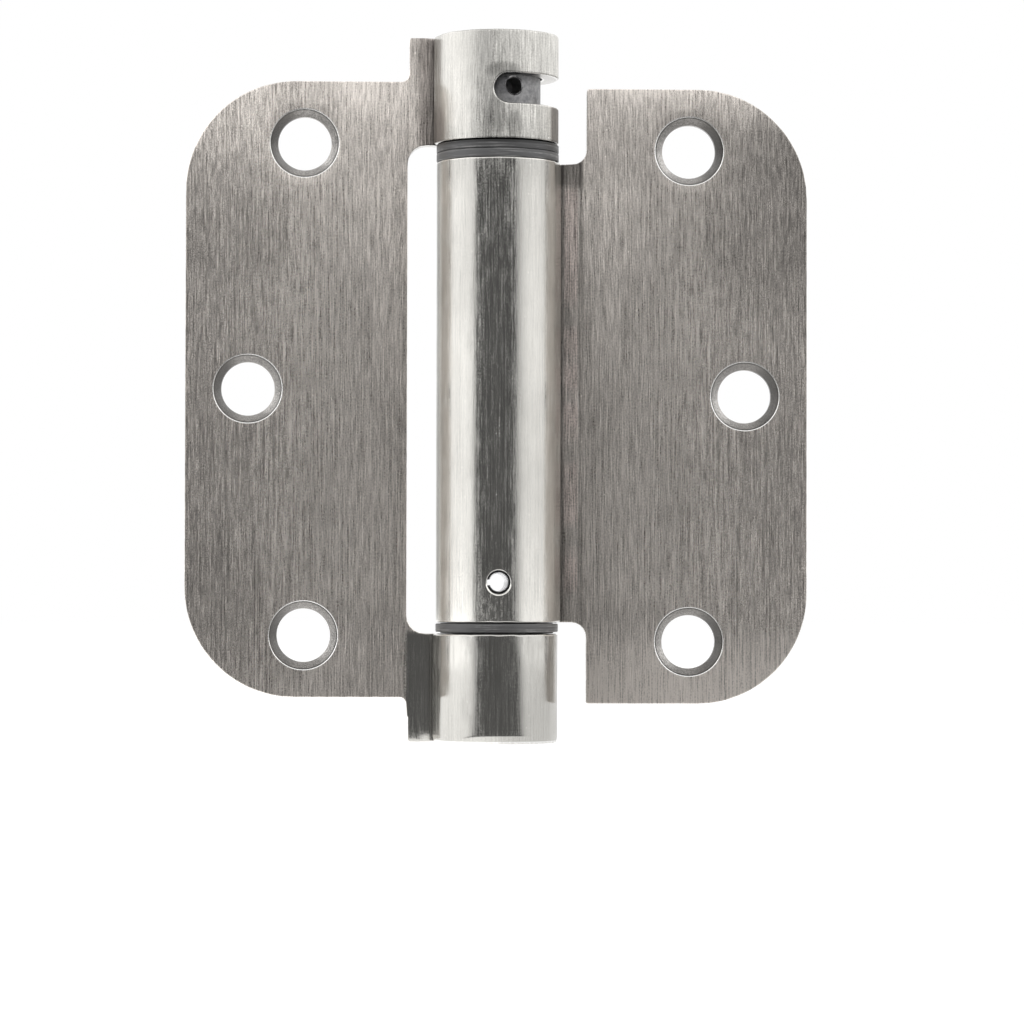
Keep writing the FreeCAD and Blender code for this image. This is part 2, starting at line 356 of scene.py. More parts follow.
def blend(tree, factor, a, b):
    return node(tree, "ShaderNodeMix", {"Factor": factor, 6: a, 7: b}, data_type="RGBA").outputs[2]


def axes(tree, vector):
    """A vector's x, y and z."""
    return node(tree, "ShaderNodeSeparateXYZ", {0: vector}).outputs


def streaks(tree, flat, across, along, detail, rough, seed=0.0):
    """Noise drawn out along the barrel, with its grain in lines per millimetre."""
    drawn = node(tree, "ShaderNodeMapping", {
        "Vector": flat, "Location": (seed, seed, 0), "Scale": (across, along, 1)})
    return node(tree, "ShaderNodeTexNoise", {
        "Vector": drawn.outputs[0], "Scale": 1.0, "Detail": detail, "Roughness": rough,
    }, noise_dimensions="2D").outputs[0]


def speckle(tree, vector, scale, detail, rough):
    """Noise that is as fine across a piece as along it, where its vector isn't drawn out."""
    return node(tree, "ShaderNodeTexNoise", {
        "Vector": vector, "Scale": scale, "Detail": detail, "Roughness": rough}).outputs[0]


def new_material(name):
    made = bpy.data.materials.new(name)
    made.use_nodes = True
    made.node_tree.nodes.clear()
    return made, made.node_tree


def bumped(tree, height, distance, strength):
    return node(tree, "ShaderNodeBump", {
        "Height": height, "Distance": distance, "Strength": strength}).outputs[0]


def end_in_shader(tree, inputs):
    """Ends a material in one shader with these inputs."""
    shader = node(tree, "ShaderNodeBsdfPrincipled", inputs)
    node(tree, "ShaderNodeOutputMaterial", {"Surface": shader.outputs[0]})


def satin_nickel(name, holes, zones):
    """Brushed plate on the leaf's faces: lines run along the barrel, and the roll is burnished.

    The holes are (u, v) places, round which the countersink has dished the sheet a little.
    zones(tree, u, v) gives how burnished a spot is, how dark its painted shade makes it and how
    pink it is, and what it adds to the roughness. Where dark is below 0, the spot gets painted light.
    """
    made, tree = new_material(name)
    flat = node(tree, "ShaderNodeUVMap", uv_map="blank").outputs[0]
    u, v = axes(tree, flat)[:2]
    burnish, dark, pink, coarse = zones(tree, u, v)
    brushed = maths(tree, "SUBTRACT", 1.0, burnish)

    fine = streaks(tree, flat, 5.2, 0.3, 1.0, 0.6)
    long = streaks(tree, flat, 4.2, 0.06, 1.0, 0.6, 31.0)
    grain = streaks(tree, flat, 4.4, 3.6, 1.0, 0.5, 13.0)
    lines = maths(tree, "MULTIPLY_ADD", fine, 0.36, times(tree, long, 0.38))
    lines = maths(tree, "MULTIPLY_ADD", grain, 0.26, lines)
    lines = maths(tree, "SUBTRACT", lines, 0.5)
    contrast = maths(tree, "ADD", maths(tree, "MULTIPLY_ADD", brushed, 1.7, 0.6), pink)
    tone = maths(tree, "MULTIPLY_ADD", lines, contrast, 1.0)

    hair = ramp(tree, streaks(tree, flat, 2.6, 0.12, 1.0, 0.5, 71.0), 0.60, 0.72)
    tone = maths(tree, "MULTIPLY_ADD", hair, times(tree, brushed, 0.16), tone)
    spots = node(tree, "ShaderNodeTexVoronoi", {"Vector": flat, "Scale": 0.27},
                 voronoi_dimensions="2D").outputs
    nick = ramp(tree, spots["Distance"], 0.018, 0.045, 1.0, 0.0)
    nick = times(tree, nick, ramp(tree, axes(tree, spots["Color"])[0], 0.35, 1.0))
    tone = maths(tree, "MULTIPLY_ADD", nick, maths(tree, "MULTIPLY_ADD", brushed, 0.42, 0.12), tone)
    broad = streaks(tree, flat, 0.5, 0.03, 2.0, 0.5, 7.0)
    cloud = streaks(tree, flat, 0.06, 0.05, 3.0, 0.55, 3.0)
    for uneven in (broad, cloud):
        tone = times(tree, tone, ramp(tree, uneven, 0.3, 0.7, 0.95, 1.04))
    # Painted shade and painted light from the zones darken or lighten the tone.
    tone = times(tree, tone, maths(tree, "SUBTRACT", 1.0, dark))
    tone = maths(tree, "MINIMUM", maths(tree, "MAXIMUM", tone, 0.2), 1.34)

    brushed_hue, burnished_hue = (0.745, 0.693, 0.643, 1), (0.735, 0.72, 0.68, 1)
    pink_hue = (0.74, 0.655, 0.61, 1)
    rolled_over = maths(tree, "MAXIMUM", burnish, ramp(tree, u, plate_run + 2, plate_run + 5))
    hue = blend(tree, pink, blend(tree, rolled_over, brushed_hue, burnished_hue), pink_hue)
    colour = node(tree, "ShaderNodeVectorMath", {0: hue, "Scale": tone}, operation="SCALE")

    haze = ramp(tree, streaks(tree, flat, 0.45, 0.2, 2.0, 0.6, 17.0), 0.45, 0.7)
    rough = maths(tree, "ADD", maths(tree, "MULTIPLY_ADD", burnish, -0.175, 0.285), coarse)
    rough = maths(tree, "MULTIPLY_ADD", lines, maths(tree, "MULTIPLY_ADD", burnish, 0.4, 0.15), rough)
    rough = maths(tree, "MULTIPLY_ADD", times(tree, haze, burnish), 0.05, rough)
    rough = maths(tree, "MAXIMUM", rough, 0.07)

    micro = streaks(tree, flat, 10.0, 0.3, 1.0, 0.5, 91.0)
    height = times(tree, micro, maths(tree, "MULTIPLY_ADD", brushed, 0.00004, 0.000003))
    for hole in holes:
        away = node(tree, "ShaderNodeVectorMath", {0: flat, 1: (*hole, 0)}, operation="DISTANCE")
        height = maths(tree, "ADD", height, ramp(tree, away.outputs[1], 4.4, 6.3, 0.0, 0.000013))
    tangent = node(tree, "ShaderNodeTangent", direction_type="UV_MAP", uv_map="blank")
    end_in_shader(tree, {
        "Base Color": colour.outputs[0], "Metallic": 1.0, "Roughness": rough, "Anisotropic": 1.0,
        "Tangent": tangent.outputs[0], "Normal": bumped(tree, height, 1.0, 1.0)})
    return made


def nickel_edge(name):
    """The sheet's cut edges: bright where they are rolled over, duller where the shears tore.

    The countersinks are cut smooth and painted darker than the face as shade, with a painted
    highlight on the lip, a painted dark ring below it and painted shade on the outer side. The edges in
    narrow gaps are painted black as their shadow.
    """
    made, tree = new_material(name)
    here = node(tree, "ShaderNodeTexCoord").outputs
    depth, drilled, crevice = (
        node(tree, "ShaderNodeAttribute", attribute_name=kept).outputs["Fac"]
        for kept in ("depth", "drilled", "crevice"))
    grain = speckle(tree, here["Object"], 3200.0, 4.0, 0.65)
    patches = ramp(tree, grain, 0.3, 0.7)
    rim = maths(tree, "MAXIMUM", ramp(tree, depth, 0.08, 0.2, 1.0, 0.0), ramp(tree, depth, 0.80, 0.9))
    torn = blend(tree, patches, (0.56, 0.55, 0.53, 1), (0.74, 0.725, 0.7, 1))
    rolled_rim = blend(tree, patches, (0.72, 0.71, 0.69, 1), (0.9, 0.89, 0.87, 1))
    sheared = blend(tree, rim, torn, rolled_rim)
    # The countersink's cone is painted darker as shade, then gets painted shade on its outer side, a
    # painted dark ring under its lip and a painted highlight on the lip.
    cone = blend(tree, patches, (0.36, 0.35, 0.335, 1), (0.56, 0.54, 0.52, 1))
    faces_out = times(tree, axes(tree, here["Normal"])[0],
                      maths(tree, "SIGN", axes(tree, here["Object"])[0]))
    for mask, shade in (
            (ramp(tree, faces_out, -0.66, -0.1, 1.0, 0.0), (0.24, 0.235, 0.23, 1)),
            (ramp(tree, depth, 0.07, 0.13, 1.0, 0.0), (0.13, 0.125, 0.12, 1)),
            (ramp(tree, depth, 0.028, 0.04, 1.0, 0.0), (0.95, 0.94, 0.92, 1))):
        cone = blend(tree, mask, cone, shade)
    colour = blend(tree, drilled, sheared, cone)
    smooth = maths(tree, "MAXIMUM", rim, drilled)
    # Edges that lie in narrow gaps are painted black as the gaps' shadow.
    end_in_shader(tree, {
        "Base Color": blend(tree, crevice, colour, (0.01, 0.01, 0.01, 1)), "Metallic": 1.0,
        "Roughness": ramp(tree, smooth, 0.0, 1.0, 0.34, 0.26),
        "Normal": bumped(tree, grain, 0.00005, 0.4)})
    return made


def band(tree, value, low, high, soft):
    """1 between two places, fading to 0 over a soft stretch at each."""
    rise = ramp(tree, value, low - soft, low + soft)
    fall = ramp(tree, value, high - soft, high + soft, 1.0, 0.0)
    return times(tree, rise, fall)


def patch(tree, u, v, at_u, at_v, half_u, half_v):
    """1 at the middle of a soft edged oval, fading to 0 round it."""
    across = times(tree, maths(tree, "SUBTRACT", u, at_u), 1 / half_u)
    along = times(tree, maths(tree, "SUBTRACT", v, at_v), 1 / half_v)
    far = maths(tree, "MULTIPLY_ADD", across, across, times(tree, along, along))
    return ramp(tree, far, 0.2, 1.0, 1.0, 0.0)


def darkened(tree, painted_shades):
    """How dark painted shade makes a spot, all patches together. Each is a mask and its level, below 0 for
    painted light.
    """
    dark = 0.0
    for mask, level in painted_shades:
        dark = maths(tree, "MULTIPLY_ADD", mask, level, dark)
    return dark


def knuckle_leaf_zones(tree, u, v):
    """The top knuckle is brushed up to its front, and the bottom one and its tab are burnished.

    The face round the slot, the crease and wedge where the tip of the roll meets the tab, the tabs, the
    outer corners and parts of the top knuckle get painted shade, and the face by the notch gets painted
    light.
    """
    high = ramp(tree, v, 30, 36)
    low = ramp(tree, v, -36, -30, 1.0, 0.0)
    rolled_part = ramp(tree, u, plate_run - 1.5, plate_run + 2)
    bottom_tab = times(tree, ramp(tree, u, 31.5, 32.4), ramp(tree, v, -35.5, -34.5, 1.0, 0.0))
    smooth_side = times(tree, ramp(tree, u, curl_place(-94), curl_place(-100)), high)
    burnish = maths(tree, "MAXIMUM", times(tree, rolled_part, low), bottom_tab)
    burnish = maths(tree, "MAXIMUM", burnish, times(tree, smooth_side, 0.66))
    # The crease and the wedge beside the roll's tip are masks of painted shade.
    crease = times(tree, band(tree, u, plate_run - 0.1, plate_run + 4, 0.5), high)
    wedge = times(tree, ramp(tree, u, curl_place(-149), curl_place(-157)), band(tree, v, 33, 40, 2))
    turned_in = times(tree, band(tree, u, curl_place(10), curl_place(-31), 0.15),
                      band(tree, v, 30, 40.5, 0.3))
    past_slot = times(tree, band(tree, u, curl_place(-38), curl_place(-8), 0.6),
                      band(tree, v, 36, 40, 1))
    below_slot = maths(tree, "MAXIMUM", patch(tree, u, v, curl_place(-93), 38.6, 1.3, 3.6),
                       patch(tree, u, v, curl_place(-76), 37.2, 1.2, 2.6))
    above_slot = patch(tree, u, v, curl_place(-86), 44.9, 2.6, 1.5)
    upper_side = times(tree, smooth_side, ramp(tree, v, 38, 48))
    outer_top = times(tree, ramp(tree, u, 24, 6), band(tree, v, 17, 34, 4))
    outer_bottom = times(tree, ramp(tree, u, 24, 4), band(tree, v, -38, -22, 5))
    top_tab = times(tree, band(tree, u, tab_u, plate_run + 0.2, 0.3), ramp(tree, v, 39, 45))
    by_notch = patch(tree, u, v, 28, 44, 8, 6)
    # Painted shade on each patch below, and painted light by the notch, where the level is below 0.
    dark = darkened(tree, (
        (crease, 0.35), (bottom_tab, 0.3), (outer_top, 0.22), (outer_bottom, 0.2), (top_tab, 0.28),
        (by_notch, -0.2), (above_slot, 0.32), (maths(tree, "MAXIMUM", below_slot, past_slot), 0.3),
        (turned_in, 0.45), (wedge, 0.3), (upper_side, 0.14), (times(tree, rolled_part, high), 0.22)))
    pink = maths(tree, "MAXIMUM", maths(tree, "MAXIMUM", crease, wedge), turned_in)
    return burnish, dark, times(tree, pink, 0.5), worn_sides(tree, u, v, 0.01)


def worn_sides(tree, u, v, low):
    """What the leaf's brushing adds to its roughness: less at the outer edge, more at the foot."""
    across = ramp(tree, u, 2, 30, -0.025, 0.012)
    return maths(tree, "ADD", across, ramp(tree, v, -32, -42, 0.0, low))


stack_top = 50.8
knuckle_end = 35.2
tab_u = leaf_reach - 12.75
notch_u = leaf_reach - 12.95
slot_from, slot_to = -81, 59
slot_z, slot_half = 42.45, 2.15
knuckle_outline = [
    (blank_end, stack_top, 1.1),
    (tab_u, stack_top, 0.4),
    (tab_u, leaf_top, 1.2),
    (0, leaf_top, corner_r),
    (0, -leaf_top, corner_r),
    (tab_u - 0.3, -leaf_top, 0.9),
    (tab_u - 0.15, -47.1, 0.3),
    (tab_u, -47.3, 0.2),
    (tab_u, -stack_top, 0.4),
    (blank_end, -stack_top, 1.1),
    (blank_end, -knuckle_end, 1.1),
    (notch_u, -knuckle_end, 2.6),
    (notch_u, knuckle_end, 2.6),
    (blank_end, knuckle_end, 1.1),
]


def plain_rounding(spot, side):
    """The edges' rounding, a little uneven, larger on the roll and where its end is rolled in."""
    size = 0.13 + 0.17 * min(max((spot.x - plate_run) / 3, 0), 1)
    size *= 1 + 0.4 * noise.noise(Vector((spot.x * 0.9, spot.y * 0.9, 11)))
    if side == 1:
        tip = min(max((spot.x - blank_end + 1.2) / 1.1, 0), 1)
        size += (1.05 - size) * tip
    return size, size


def tip_crevice(spot, w):
    """The rolled end meets the bend of its own sheet; the narrow gap between them is painted black as its
    shadow.
    """
    return 0.86 * min(max((spot.x - blank_end + 1.3) * 2, 0), 1)


def knuckle_crevice(spot, w):
    """The same, with painted shadow also in the gap over the washers, and the shade that lies in the slot
    painted black.
    """
    angle = math.degrees(curl_start - (spot.x - curl_u) / curl_mid_r)
    over_washer = abs(abs(spot.y) - knuckle_end) < 0.4 and -130 < angle < 10 and w < 2.15
    in_slot = abs(spot.y - slot_z) < 3 and angle < -46 and w < 2.2
    return max(tip_crevice(spot, w), 0.93 * (over_washer or in_slot))


def knuckle_rounding(spot, side):
    """The same, with the outer rim of the bottom knuckle rolled over further."""
    reach, deep = plain_rounding(spot, side)
    if side == 1 and spot.y < -50:
        over = min(max((spot.x - curl_u + 2) / 5, 0), 1)
        reach = max(reach, 0.3 + 0.9 * over)
    return reach, deep


screw_hole_r = 3.85
countersink_wide = 1.13
hole_rise = 35.5
near_hole_u = leaf_reach - 27.8
far_hole_u = leaf_reach - 35.9


def screw_hole(u, v):
    return hole_edge(round_hole(u, v, screw_hole_r), countersink_wide, 0.16, waist=0.12), 1


def hole_places(drop):
    """Where a leaf's three screw holes lie on its blank."""
    return [(near_hole_u, hole_rise - drop), (far_hole_u, -drop), (near_hole_u, -hole_rise - drop)]


knuckle_leaf = rolled_leaf("knuckle_leaf_sheet", [
    (outline_edge(knuckle_outline, knuckle_rounding), 0),
    *[screw_hole(*place) for place in hole_places(0)],
    (hole_edge(barrel_slot(slot_from, slot_to, slot_z, slot_half), 0, 0.12, back=0.25), 0),
], knuckle_crevice, mirrored=False)
knuckle_leaf.data.materials.append(
    satin_nickel("satin_nickel_knuckle_leaf", hole_places(0), knuckle_leaf_zones))
edge_finish = nickel_edge("satin_nickel_edges")
knuckle_leaf.data.materials.append(edge_finish)
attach(knuckle_leaf, "knuckle_leaf")
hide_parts("knuckle_leaf")


# Barrel leaf: the leaf on the right, stamped and rolled from the same sheet into the long
# middle barrel. It is cross drilled near the bottom for the pin, and burnished by the roll.
def barrel_leaf_zones(tree, u, v):
    """The barrel is burnished, and the bend beside it is left pink where no brush reached.

    Below the pin the barrel is scuffed, from when the pin was driven in. The bend's gutter, the line where
    it leaves the plate, its shoulder and bands of the leaf and barrel get painted shade, and the foot and
    head get painted light.
    """
    flat = node(tree, "ShaderNodeUVMap", uv_map="blank").outputs[0]
    depth = node(tree, "ShaderNodeAttribute", attribute_name="depth").outputs["Fac"]
    burnish = times(tree, ramp(tree, u, plate_run + 1.5, plate_run + 4), 0.97)
    front = ramp(tree, depth, 0.4, 0.6, 1.0, 0.0)
    spoiled = ramp(tree, streaks(tree, flat, 0.01, 0.16, 1.0, 0.5, 5.0), 0.3, 0.52)
    bare = times(tree, band(tree, u, plate_run - 0.5, plate_run + 1.25, 0.12),
                 band(tree, v, -29, 29.5, 1))
    pink = times(tree, bare, times(tree, spoiled, front))
    gutter = band(tree, u, plate_run + 1.35, plate_run + 2.2, 0.2)
    bend_line_shade = band(tree, u, plate_run - 1.3, plate_run - 0.65, 0.12)
    shoulder = times(tree, band(tree, u, plate_run - 1.1, plate_run + 2.2, 0.5),
                     ramp(tree, v, 28.5, 30))
    foot, head = ramp(tree, v, -33, -43), ramp(tree, v, 41.5, 43.5)
    outer_top = times(tree, ramp(tree, v, 6, 24), ramp(tree, v, 35.5, 44.5, 1.0, 0.0))
    outer_top = times(tree, outer_top, ramp(tree, u, 34, 0))
    near_bend = times(tree, band(tree, u, plate_run - 1.3, plate_run + 1.4, 0.3),
                      ramp(tree, v, -2, 16))
    barrel_rise = times(tree, ramp(tree, v, 0, 32), ramp(tree, u, plate_run + 2, plate_run + 4))
    # Painted shade on each band below, and painted light at the foot and head, where the level is below 0.
    dark = darkened(tree, (
        (gutter, 0.35), (bend_line_shade, 0.22), (shoulder, 0.4), (foot, -0.3), (outer_top, 0.44),
        (band(tree, v, 29, 41, 3), 0.12), (head, -0.14), (near_bend, 0.13), (barrel_rise, 0.1)))
    scuffs = ramp(tree, streaks(tree, flat, 6.5, 1.0, 1.0, 0.5, 41.0), 0.42, 0.7)
    scuffs = times(tree, scuffs, patch(tree, u, v, curl_place(-84), -31.4, 2.2, 2.8))
    coarse = maths(tree, "MULTIPLY_ADD", pink, 0.13, worn_sides(tree, u, v, 0.11))
    return burnish, dark, pink, maths(tree, "MULTIPLY_ADD", scuffs, 0.13, coarse)


leaf_drop = 0.85
barrel_top = 32.65
barrel_bottom = -33.6
pin_z = -27.85
pin_hole_r = 1.65
barrel_outline = [
    (blank_end, barrel_top, 1.1),
    (notch_u, barrel_top, 2.1),
    (notch_u, leaf_top - leaf_drop, 0.4),
    (0, leaf_top - leaf_drop, corner_r),
    (0, -leaf_top - leaf_drop, corner_r),
    (notch_u, -leaf_top - leaf_drop, 0.3),
    (notch_u, barrel_bottom, 2.1),
    (blank_end, barrel_bottom, 1.1),
]
barrel_leaf = rolled_leaf("barrel_leaf_sheet", [
    (outline_edge(barrel_outline, plain_rounding), 0),
    *[screw_hole(*place) for place in hole_places(leaf_drop)],
    *[(hole_edge(cross_hole(angle, pin_z, pin_hole_r), 0, 0.1, back=0.3), 0) for angle in (-90, 90)],
], tip_crevice, mirrored=True)
barrel_leaf.data.materials.append(
    satin_nickel("satin_nickel_barrel_leaf", hole_places(leaf_drop), barrel_leaf_zones))
barrel_leaf.data.materials.append(edge_finish)
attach(barrel_leaf, "barrel_leaf")
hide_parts("barrel_leaf")


# Tension plug: turned steel, left dark and matt, in the top knuckle. It has a hex socket for
# the winding key, four radial holes for the tension pin and a slotted nose for the spring.
def turned(name, rows, pieces=96, place=Matrix()):
    """A closed solid of revolution about the hinge axis from (radius, height) rows."""
    bm = bmesh.new()
    verts = [bm.verts.new((r * MM, 0, z * MM)) for r, z in rows]
    edges = [bm.edges.new(pair) for pair in zip(verts, verts[1:])]
    bmesh.ops.spin(bm, geom=verts + edges, axis=(0, 0, 1), cent=(0, 0, 0), steps=pieces,
                   angle=2 * math.pi, use_duplicate=False)
    bmesh.ops.remove_doubles(bm, verts=bm.verts, dist=1e-7)
    bmesh.ops.transform(bm, matrix=place, verts=bm.verts)
    bmesh.ops.recalc_face_normals(bm, faces=bm.faces)
    return piece_from(bm, name)


def box_cutter(low, high):
    bm = bmesh.new()
    bmesh.ops.create_cube(bm, size=1)
    for vert in bm.verts:
        vert.co = [(l + (h - l) * (c + 0.5)) * MM for l, h, c in zip(low, high, vert.co)]
    return piece_from(bm, "cutter")


def plain_mesh(piece):
    """Turns what a piece's modifiers make into its own mesh."""
    bpy.context.view_layer.update()
    made = bpy.data.meshes.new_from_object(piece.evaluated_get(bpy.context.evaluated_depsgraph_get()))
    piece.modifiers.clear()
    piece.data = made
    return piece


def cut_from(piece, cutters):
    """Takes each cutter out of a piece."""
    for cutter in cutters:
        tool = piece.modifiers.new("cut", "BOOLEAN")
        tool.operation = "DIFFERENCE"
        tool.solver = "EXACT"
        tool.object = cutter
    plain_mesh(piece)
    for cutter in cutters:
        bpy.data.objects.remove(cutter)


def smoothed(piece, degrees=32, round_r=None):
    """Shades a turned piece smooth up to an angle, and its round side exactly round."""
    mesh = piece.data
    for polygon in mesh.polygons:
        polygon.use_smooth = True
    mesh.set_sharp_from_angle(angle=math.radians(degrees))
    if round_r:
        normals = [Vector((0, 0, 0))] * len(mesh.loops)
        for polygon in mesh.polygons:
            spots = [mesh.vertices[i].co for i in polygon.vertices]
            if all(abs(spot.xy.length / MM - round_r) < 0.02 for spot in spots):
                for i in polygon.loop_indices:
                    spot = mesh.vertices[mesh.loops[i].vertex_index].co
                    normals[i] = Vector((spot.x, spot.y, 0)).normalized()
        mesh.normals_split_custom_set(normals)


plug_top = 50.1
plug_r = 6.15
end_r = 5.85
end_ease = 0.2
nose_r = 3.8
nose_long = 5
nose_slot_half = 1
top_shoulder = 20.05
bottom_shoulder = -21.0
hex_r = 2.338
hex_deep = 5
hex_turn = 12
mouth_r = 2.65
tension_hole_z = 43.1
tension_hole_r = 1.2
chamfer_r = 1.45
first_hole = -69


def plug_rows(end_z, shoulder_z):
    """A plug's outline, from its end face to the end of the nose that the spring surrounds."""
    way = 1 if end_z > shoulder_z else -1
    nose_end = shoulder_z - way * nose_long
    rows = [(0, end_z)]
    for k in range(5):
        lean = math.radians(22.5 * k)
        rows.append((end_r - end_ease * (1 - math.sin(lean)),
                     end_z - way * end_ease * (1 - math.cos(lean))))
    rows += [(plug_r, end_z - way * 1.2), (plug_r, shoulder_z + way * 0.15), (6.0, shoulder_z),
             (nose_r, shoulder_z), (nose_r, nose_end + way * 0.4), (3.4, nose_end), (0, nose_end)]
    return rows


tension_plug = turned("tension_plug_turned", plug_rows(plug_top, top_shoulder))
hexagon = turned("cutter", [
    (0, plug_top - hex_deep), (hex_r, plug_top - hex_deep), (hex_r, plug_top + 2), (0, plug_top + 2),
], 6, Matrix.Rotation(math.radians(hex_turn), 4, "Z"))
mouth = turned("cutter", [(0, plug_top - mouth_r), (mouth_r + 1, plug_top + 1), (0, plug_top + 1)], 48)
cutters = [hexagon, mouth]
for k in range(4):
    outwards = Matrix.Rotation(math.pi / 2, 4, "Y")
    way = Matrix.Rotation(math.radians(first_hole + 90 * k), 4, "Z") @ outwards
    cutters.append(turned("cutter", [
        (0, 2.55), (tension_hole_r, 2.55), (tension_hole_r, 5.86), (chamfer_r, 6.11), (chamfer_r, 8),
        (0, 8)], 40, Matrix.Translation((0, 0, tension_hole_z * MM)) @ way))
cutters.append(box_cutter((-8, -nose_slot_half, 12), (8, nose_slot_half, top_shoulder)))
cut_from(tension_plug, cutters)
smoothed(tension_plug, round_r=plug_r)


def dark_steel(name, level, rough_low, rough_high):
    """Turned steel with fine rings from the tool, dull and a little stained."""
    made, tree = new_material(name)
    place = node(tree, "ShaderNodeTexCoord").outputs["Object"]
    drawn = node(tree, "ShaderNodeMapping", {"Vector": place, "Scale": (300.0, 300.0, 4000.0)})
    rings = speckle(tree, drawn.outputs[0], 1.0, 3.0, 0.6)
    stain = speckle(tree, place, 1400.0, 4.0, 0.6)
    dark = (level * 0.62, level * 0.62, level * 0.64, 1)
    light = (level * 1.25, level * 1.24, level * 1.24, 1)
    end_in_shader(tree, {
        "Base Color": blend(tree, ramp(tree, stain, 0.34, 0.66), dark, light), "Metallic": 0.85,
        "Roughness": ramp(tree, stain, 0.3, 0.7, rough_low, rough_high),
        "Normal": bumped(tree, rings, 0.00004, 0.4)})
    return made


def dress(piece, *finishes):
    """Gives a piece its materials, the first of them all over."""
    piece.data.materials.clear()
    for finish in finishes:
        piece.data.materials.append(finish)


plug_finish = dark_steel("turned_plug_steel", 0.24, 0.34, 0.52)
dress(tension_plug, plug_finish, dark_steel("bright_chamfer_steel", 0.75, 0.25, 0.35))
for polygon in tension_plug.data.polygons:
    spot = polygon.center / MM
    leans = abs(Vector(polygon.normal.xy).dot(spot.xy.normalized()))
    if 5.8 < spot.xy.length < 6.13 and 0.5 < leans < 0.85 and abs(spot.z - tension_hole_z) < 1.5:
        polygon.material_index = 1
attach(tension_plug, "tension_plug")
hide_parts("tension_plug")

# Anchor plug: the same turned blank the other way up, from the barrel into the bottom knuckle.
# It is cross drilled for its pin, and its nose holds the spring's bottom end still.
cross_r = 1.62
anchor_plug = turned("anchor_plug_turned", plug_rows(-plug_top, bottom_shoulder))
cross = turned("cutter", [(0, -9), (cross_r, -9), (cross_r, 9), (0, 9)], 40,
               Matrix.Translation((0, 0, pin_z * MM)) @ Matrix.Rotation(math.pi / 2, 4, "X"))
cut_from(anchor_plug, [cross, box_cutter((-8, -nose_slot_half, bottom_shoulder), (8, nose_slot_half, -12))])
smoothed(anchor_plug, round_r=plug_r)
dress(anchor_plug, plug_finish)
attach(anchor_plug, "barrel_leaf")
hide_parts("anchor_plug")

# Roll pin: spring steel strip rolled into a slotted tube. It is driven right through the barrel
# and the anchor plug, and holds itself there by its own spring.
pin_half = 8.45
pin_r = 1.6
pin_bore_r = 1.3
pin_end = [(pin_bore_r, pin_half), (1.4, pin_half), (1.54, 8.38), (pin_r, 8.22)]
pin_rows = [(r, -z) for r, z in pin_end] + pin_end[::-1]
half_slit = math.asin(0.45 / 1.45)
bm = bmesh.new()
strip_end = [bm.verts.new((r * MM, 0, z * MM)) for r, z in pin_rows]
face = bm.faces.new(strip_end)
bmesh.ops.rotate(bm, verts=strip_end, cent=(0, 0, 0), matrix=Matrix.Rotation(half_slit, 3, "Z"))
bmesh.ops.spin(bm, geom=[face], axis=(0, 0, 1), cent=(0, 0, 0), steps=40,
               angle=2 * (math.pi - half_slit), use_duplicate=False)
bmesh.ops.remove_doubles(bm, verts=bm.verts, dist=1e-7)
slit_left = Matrix.Rotation(math.pi, 4, "Y")
bmesh.ops.transform(bm, verts=bm.verts, matrix=Matrix.Translation((0, 0, pin_z * MM)) @ slit_left
                    @ Matrix.Rotation(math.pi / 2, 4, "X"))
bmesh.ops.recalc_face_normals(bm, faces=bm.faces)
roll_pin = piece_from(bm, "anchor_roll_pin_rolled")
smoothed(roll_pin)
dress(roll_pin, dark_steel("pin_spring_steel", 0.7, 0.18, 0.3),
      dark_steel("pin_dark_outside", 0.04, 0.4, 0.5))
for polygon in roll_pin.data.polygons:
    spot = polygon.center / MM - Vector((0, 0, pin_z))
    if math.hypot(spot.x, spot.z) > 1.46:
        polygon.material_index = 1
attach(roll_pin, "barrel_leaf")
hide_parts("anchor_roll_pin")


# Torsion spring: square wire wound left handed, its ends bent in across the plugs' noses.
# Its top end turns with the tension plug, and its bottom end stays with the barrel.
def shape_tree(name, sizes):
    """A Geometry Nodes tree whose inputs are named sizes and a finish, and those inputs."""
    tree = bpy.data.node_groups.new(name, "GeometryNodeTree")
    tree.interface.new_socket("Geometry", in_out="OUTPUT", socket_type="NodeSocketGeometry")
    for title, size in sizes.items():
        socket = tree.interface.new_socket(title, in_out="INPUT", socket_type="NodeSocketFloat")
        socket.default_value = size
    tree.interface.new_socket("Finish", in_out="INPUT", socket_type="NodeSocketMaterial")
    return tree, node(tree, "NodeGroupInput").outputs


def eased_bar(tree, wide, tall, steps, radius):
    """A rectangular section with its corners eased."""
    bar = node(tree, "GeometryNodeCurvePrimitiveQuadrilateral", {0: wide, 1: tall})
    return node(tree, "GeometryNodeFilletCurve", {
        "Curve": bar.outputs[0], "Count": steps, "Radius": radius}, mode="POLY").outputs[0]


def swept(tree, path, section, capped=False):
    """A section swept along a path, with its sides kept upright."""
    upright = node(tree, "GeometryNodeSetCurveNormal", {"Curve": path}, mode="Z_UP")
    return node(tree, "GeometryNodeCurveToMesh", {
        "Curve": upright.outputs[0], "Profile Curve": section, "Fill Caps": capped}).outputs[0]


def moved(tree, geometry, place):
    """Geometry moved by what the place gives for its X and Z."""
    way = node(tree, "ShaderNodeCombineXYZ", place)
    return node(tree, "GeometryNodeTransform", {
        "Geometry": geometry, "Translation": way.outputs[0]}).outputs[0]


def joined(tree, parts):
    made = node(tree, "GeometryNodeJoinGeometry")
    for part in parts:
        tree.links.new(part, made.inputs[0])
    return made.outputs[0]


